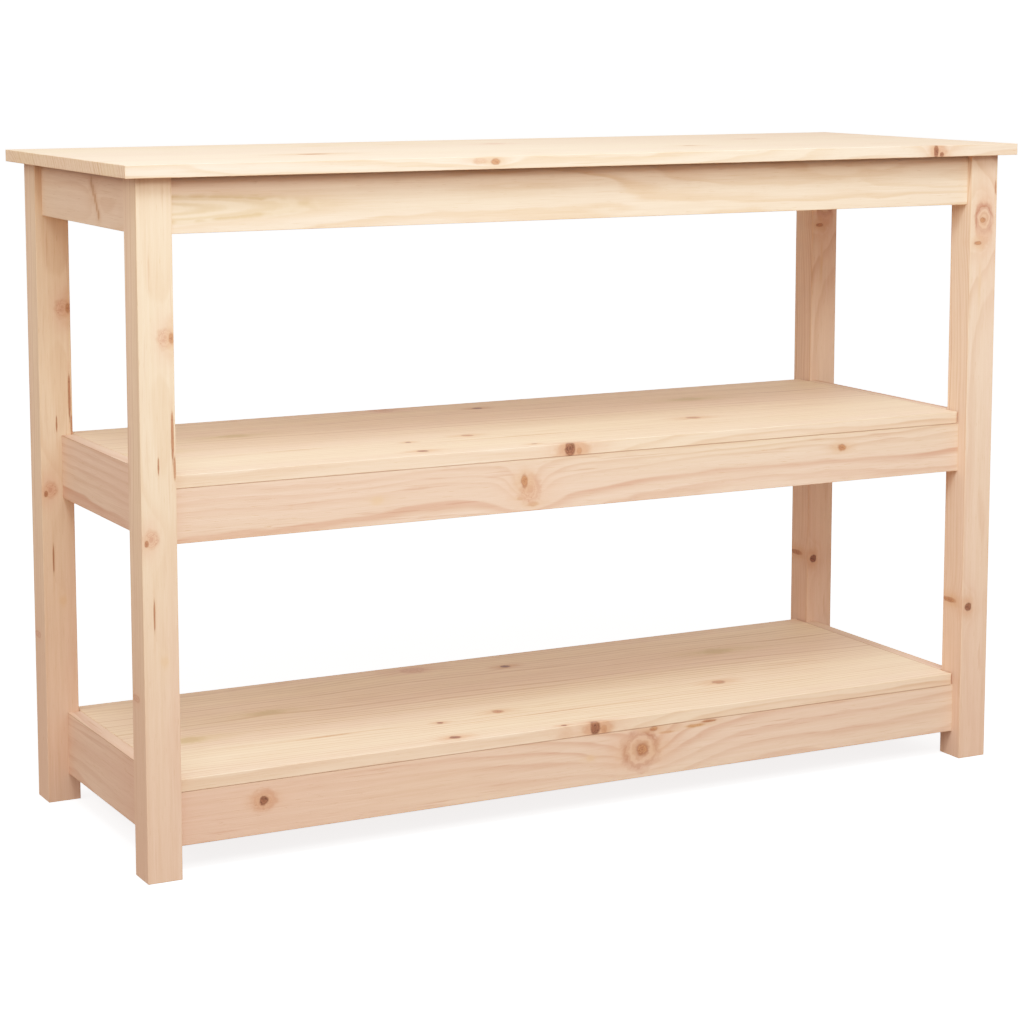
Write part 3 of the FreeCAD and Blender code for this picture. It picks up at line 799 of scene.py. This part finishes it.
def rail_pine(node, grain, knots, blush, seed):
    timber = Timber(
        early=(0.715, 0.463, 0.318),
        late=(0.44, 0.175, 0.10),
        spacing=0.0085,
        contrast=1.15,
        pith=(-0.050, 0.060),
        taper=0.010,
        wander=0.040,
        tone_shift=0.60,
        blush=blush,
    )
    paint(node, pine(node, grain, "Z", timber, knots, seed, Seam("top", THIN_SEAM)))


BATTEN_KNOTS = (
    Knot("live", -0.061, 0.002, 0.0045, 1.2),
    Knot("dead", 0.088, -0.004, 0.0030, 1.1),
)


def batten_pine(node, seed):
    timber = Timber(
        early=(0.76, 0.51, 0.335),
        late=(0.55, 0.27, 0.14),
        spacing=0.0050,
        contrast=0.95,
        pith=(0.006, 0.040),
        taper=0.012,
        wander=0.020,
        tone_shift=0.50,
    )
    paint(node, pine(node, "Y", "X", timber, BATTEN_KNOTS, seed))


# --------------------------------------------------------------------------------------------------
# Dowels and fittings.
# --------------------------------------------------------------------------------------------------


# Noise in beech and zinc: how many features there are to the metre along each axis. Reliefs are in metres.
BEECH_CLOUDS = (60.0, 60.0, 60.0)
BEECH_FLECKS = (900.0, 900.0, 900.0)
BEECH_BROWN = (0.62, 0.40, 0.26)
BEECH_PINK = (0.72, 0.50, 0.34)
FLECKS_SHOW = Fade(0.62, 0.72)
FLECK_STRENGTH = 0.5
BEECH_ROUGHNESS = 0.5
BEECH_CLOUD_ROUGHNESS = 0.15
BEECH_RELIEF = 0.0001

ZINC_CLOUDS = (90.0, 90.0, 90.0)
ZINC_TINGE = (25.0, 25.0, 25.0)
ZINC_SCRATCHES = (3000.0, 260.0, 260.0)
SPANGLES_PER_METRE = 420.0
SPANGLE_STRENGTH = 0.22
SPANGLE_GREY = (0.80, 0.81, 0.83)
PASSIVATION = (0.72, 0.66, 0.50)
PASSIVATION_SHOWS = Fade(0.5, 0.8, 0.0, 0.30)
ZINC_ROUGHNESS = 0.24
ZINC_CLOUD_ROUGHNESS = 0.22
SCRATCH_ROUGHNESS = 0.12
PLATE_RELIEF = 0.00008
FASTENER_RELIEF = 0.00004

# How the two colours of a cloudy material take turns.
CLOUDS_SHOW = Fade(0.3, 0.7)


def beech(name):
    """Beech dowels: pinkish brown, with short dark flecks."""
    graph = Graph(name)
    place = graph.node("TexCoord").outputs["Object"]
    cloudy = graph.noise(place, BEECH_CLOUDS, seed=11.0)
    colour = graph.mix(graph.ramp(cloudy, *CLOUDS_SHOW), BEECH_BROWN, BEECH_PINK)
    flecks = graph.ramp(graph.noise(place, BEECH_FLECKS, seed=12.0, detail=1.0), *FLECKS_SHOW)
    colour = graph.mix(graph.math("MULTIPLY", flecks, FLECK_STRENGTH), colour, AMBER)
    roughness = graph.math("MULTIPLY_ADD", cloudy, BEECH_CLOUD_ROUGHNESS, BEECH_ROUGHNESS)
    return graph.finish(colour, roughness, flecks, BEECH_RELIEF, IOR=TIMBER_IOR)


def zinc(name, bright, dull, relief, seed):
    """Zinc plating: a cloudy grey, with a spangle, faint yellow passivation and fine scratches."""
    graph = Graph(name)
    place = graph.node("TexCoord").outputs["Object"]
    cells = graph.node("TexVoronoi", feature="F1")
    graph.feed(cells.inputs["Vector"], place)
    cells.inputs["Scale"].default_value = SPANGLES_PER_METRE
    spangle = graph.split(cells.outputs["Color"])[0]
    cloudy = graph.noise(place, ZINC_CLOUDS, seed)
    colour = graph.mix(graph.ramp(cloudy, *CLOUDS_SHOW), dull, bright)
    colour = graph.mix(graph.math("MULTIPLY", spangle, SPANGLE_STRENGTH), colour, SPANGLE_GREY)
    tinge = graph.noise(place, ZINC_TINGE, seed + 1.0)
    colour = graph.mix(graph.ramp(tinge, *PASSIVATION_SHOWS), colour, PASSIVATION)
    scratches = graph.noise(place, ZINC_SCRATCHES, seed + 2.0, detail=1.0)
    roughness = graph.math("MULTIPLY_ADD", cloudy, ZINC_CLOUD_ROUGHNESS, ZINC_ROUGHNESS)
    roughness = graph.math("MULTIPLY_ADD", scratches, SCRATCH_ROUGHNESS, roughness)
    return graph.finish(colour, roughness, scratches, relief, Metallic=1.0)


def zinc_plate(name):
    return zinc(name, (0.66, 0.67, 0.69), (0.50, 0.51, 0.53), PLATE_RELIEF, seed=21.0)


def zinc_fastener(name):
    return zinc(name, (0.74, 0.74, 0.75), (0.58, 0.58, 0.59), FASTENER_RELIEF, seed=31.0)


# --------------------------------------------------------------------------------------------------
# Which node gets which finish. The last number seeds the figure, so boards of one kind can share it.
# --------------------------------------------------------------------------------------------------

tabletop_pine("tabletop", 3.0)
leg_pine("front_left_leg", LEFT_LEG_KNOTS, 5.0)
leg_pine("back_left_leg", LEFT_LEG_KNOTS, 5.0)
leg_pine("front_right_leg", RIGHT_LEG_KNOTS, 6.0)
leg_pine("back_right_leg", RIGHT_LEG_KNOTS, 6.0)
apron_pine("front_apron", "X", FRONT_APRON_KNOTS, 7.0)
apron_pine("back_apron", "X", FRONT_APRON_KNOTS, 8.0)
apron_pine("left_apron", "Y", LEFT_APRON_KNOTS, 9.0)
apron_pine("right_apron", "Y", (), 10.0)
batten_pine("top_bearer", 12.0)

# For each shelf: how far its figure slides along and across, the knots of its rails and the painted shade
# at their low ends, and the first seed of the boards under it.
Shelf = namedtuple("Shelf", "slide_along slide_across rail_knots blush seed")
SHELVES = {
    "lower": Shelf(0.0, 0.0, LOWER_RAIL_KNOTS, 1.0, 14.0),
    "middle": Shelf(-0.033, 0.010, MIDDLE_RAIL_KNOTS, 0.4, 24.0),
}
SHELF_PANEL_SEED = 13.0
for name, shelf in SHELVES.items():
    shelf_pine(f"{name}_shelf_panel", shelf.slide_along, shelf.slide_across, SHELF_PANEL_SEED)
    rail_pine(f"{name}_shelf_front_rail", "X", shelf.rail_knots, shelf.blush, shelf.seed)
    rail_pine(f"{name}_shelf_back_rail", "X", shelf.rail_knots, shelf.blush, shelf.seed + 1.0)
    rail_pine(f"{name}_shelf_left_rail", "Y", (), shelf.blush, shelf.seed + 2.0)
    rail_pine(f"{name}_shelf_right_rail", "Y", (), shelf.blush, shelf.seed + 3.0)
    batten_pine(f"{name}_shelf_left_cleat", shelf.seed + 4.0)
    batten_pine(f"{name}_shelf_right_cleat", shelf.seed + 5.0)
    batten_pine(f"{name}_shelf_bearer", shelf.seed + 6.0)

BEECH = beech("beech_dowel")
for node in ("dowels_8mm", "dowels_6mm"):
    paint(node, BEECH)
PLATE = zinc_plate("zinc_plate")
for node in ("corner_brackets", "shelf_angle_brackets", "top_fixing_brackets"):
    paint(node, PLATE)
FASTENER = zinc_fastener("zinc_fastener")
for node in (
    "corner_bracket_screws",
    "hanger_bolts",
    "hanger_bolt_washers",
    "hanger_bolt_nuts",
    "shelf_bracket_screws",
    "top_fixing_screws",
    "cleat_screws",
    "bearer_screws",
):
    paint(node, FASTENER)


# --------------------------------------------------------------------------------------------------
# Floor, light and camera.
# --------------------------------------------------------------------------------------------------


FLOOR_HALF_WIDTH = 60.0
FLOOR_SQUARES = 8
FLOOR_CLOUDS = (1.5, 1.5, 1.5)
FLOOR_SHADE = (0.86, 0.855, 0.85)
FLOOR_PALE = (0.88, 0.88, 0.875)
FLOOR_ROUGHNESS = 0.85
FLOOR_CLOUD_ROUGHNESS = 0.1
FLOOR_RELIEF = 0.0005
FLOOR_SHINE = 0.1
# The floor's own glow keeps it as pale as the room behind it.
FLOOR_GLOW = 1.25


def pale_floor():
    """A wide, smooth, pale floor under the bench's feet, which throws no light back onto the bench."""
    mesh = bpy.data.meshes.new("studio_floor")
    shape = bmesh.new()
    squares = {"x_segments": FLOOR_SQUARES, "y_segments": FLOOR_SQUARES}
    bmesh.ops.create_grid(shape, size=FLOOR_HALF_WIDTH, **squares)
    shape.to_mesh(mesh)
    shape.free()
    floor = bpy.data.objects.new("studio_floor", mesh)
    bpy.context.scene.collection.objects.link(floor)
    floor.location.z = CAD_BOX[0][2]
    graph = Graph("studio_floor")
    place = graph.node("TexCoord").outputs["Object"]
    cloudy = graph.noise(place, FLOOR_CLOUDS, seed=41.0)
    colour = graph.mix(cloudy, FLOOR_SHADE, FLOOR_PALE)
    roughness = graph.math("MULTIPLY_ADD", cloudy, FLOOR_CLOUD_ROUGHNESS, FLOOR_ROUGHNESS)
    glow = {
        "Emission_Color": WHITE,
        "Emission_Strength": FLOOR_GLOW,
        "Specular_IOR_Level": FLOOR_SHINE,
    }
    mesh.materials.append(graph.finish(colour, roughness, cloudy, FLOOR_RELIEF, **glow))
    floor.visible_diffuse = False
    floor.visible_glossy = False


def aim(thing, place, target):
    """Puts a light at a place, pointing at a target."""
    thing.location = place
    gaze = thing.location.copy()
    gaze.negate()
    for axis in range(3):
        gaze[axis] += target[axis]
    thing.rotation_euler = gaze.to_track_quat("-Z", "Y").to_euler()


def soft_light(light):
    """A rectangular lamp that the camera doesn't see."""
    data = bpy.data.lights.new(light.name, "AREA")
    data.shape = "RECTANGLE"
    data.size = light.width
    data.size_y = light.height
    data.energy = light.power
    data.color = light.colour
    lamp = bpy.data.objects.new(light.name, data)
    lamp.visible_camera = False
    bpy.context.scene.collection.objects.link(lamp)
    aim(lamp, light.place, light.target)


def front_light():
    """A broad light from far away in front."""
    data = bpy.data.lights.new("front_light", "SUN")
    data.energy = FRONT_LIGHT_POWER
    data.angle = math.radians(FRONT_LIGHT_SPREAD)
    lamp = bpy.data.objects.new("front_light", data)
    bpy.context.scene.collection.objects.link(lamp)
    aim(lamp, FRONT_LIGHT_FROM, (0.0, 0.0, 0.0))


def soft_surroundings():
    """Even light from all round, dimmer and warmer from below. The room itself is seen as plain white."""
    world = bpy.data.worlds.new("studio")
    world.use_nodes = True
    nodes = world.node_tree.nodes
    links = world.node_tree.links
    nodes.clear()
    direction = nodes.new("ShaderNodeTexCoord")
    heights = nodes.new("ShaderNodeSeparateXYZ")
    ramp = nodes.new("ShaderNodeValToRGB")
    ramp.color_ramp.interpolation = "EASE"
    ramp.color_ramp.elements.new(0.5)
    for element, part in zip(ramp.color_ramp.elements, SURROUNDINGS):
        element.position = 0.5 + 0.5 * part.rise
        red, green, blue = (part.strength * channel for channel in part.colour)
        element.color = (red, green, blue, 1.0)
    # A direction's rise, from -1 to 1, becomes a place on the ramp, from 0 to 1.
    shift = nodes.new("ShaderNodeMath")
    shift.operation = "MULTIPLY_ADD"
    shift.inputs[1].default_value = 0.5
    shift.inputs[2].default_value = 0.5
    lit = nodes.new("ShaderNodeBackground")
    seen = nodes.new("ShaderNodeBackground")
    seen.inputs["Color"].default_value = WHITE
    seen.inputs["Strength"].default_value = ROOM_BRIGHTNESS
    rays = nodes.new("ShaderNodeLightPath")
    either = nodes.new("ShaderNodeMixShader")
    output = nodes.new("ShaderNodeOutputWorld")
    links.new(direction.outputs["Generated"], heights.inputs[0])
    links.new(heights.outputs["Z"], shift.inputs[0])
    links.new(shift.outputs[0], ramp.inputs[0])
    links.new(ramp.outputs[0], lit.inputs["Color"])
    links.new(rays.outputs["Is Camera Ray"], either.inputs[0])
    links.new(lit.outputs[0], either.inputs[1])
    links.new(seen.outputs[0], either.inputs[2])
    links.new(either.outputs[0], output.inputs[0])
    bpy.context.scene.world = world


def tone_curve():
    """Rolls brightness off smoothly to white, so that lit timber looks creamy and shaded timber warm."""
    view = bpy.context.scene.view_settings
    view.view_transform = "Standard"
    view.use_curve_mapping = True
    view.curve_mapping.white_level = (FULL_WHITE, FULL_WHITE, FULL_WHITE)
    curve = view.curve_mapping.curves[ALL_CHANNELS]
    for step in range(1, TONE_STEPS):
        part = step / TONE_STEPS
        shown = (1 - math.exp(-FULL_WHITE * part)) / (1 - math.exp(-FULL_WHITE))
        curve.points.new(part, shown)
    view.curve_mapping.update()


def camera():
    data = bpy.data.cameras.new("camera")
    data.lens = CAMERA_LENS_MM
    data.shift_y = CAMERA_SHIFT_Y
    data.clip_end = CAMERA_REACH
    eye = bpy.data.objects.new("camera", data)
    eye.location = CAMERA_PLACE
    # At no rotation a camera looks straight down, so 90 degrees of tilt is level.
    eye.rotation_euler = (math.radians(90.0 - CAMERA_PITCH), 0.0, math.radians(-CAMERA_YAW))
    bpy.context.scene.collection.objects.link(eye)
    bpy.context.scene.camera = eye


pale_floor()
for light in LIGHTS:
    soft_light(light)
front_light()
soft_surroundings()
camera()
tone_curve()
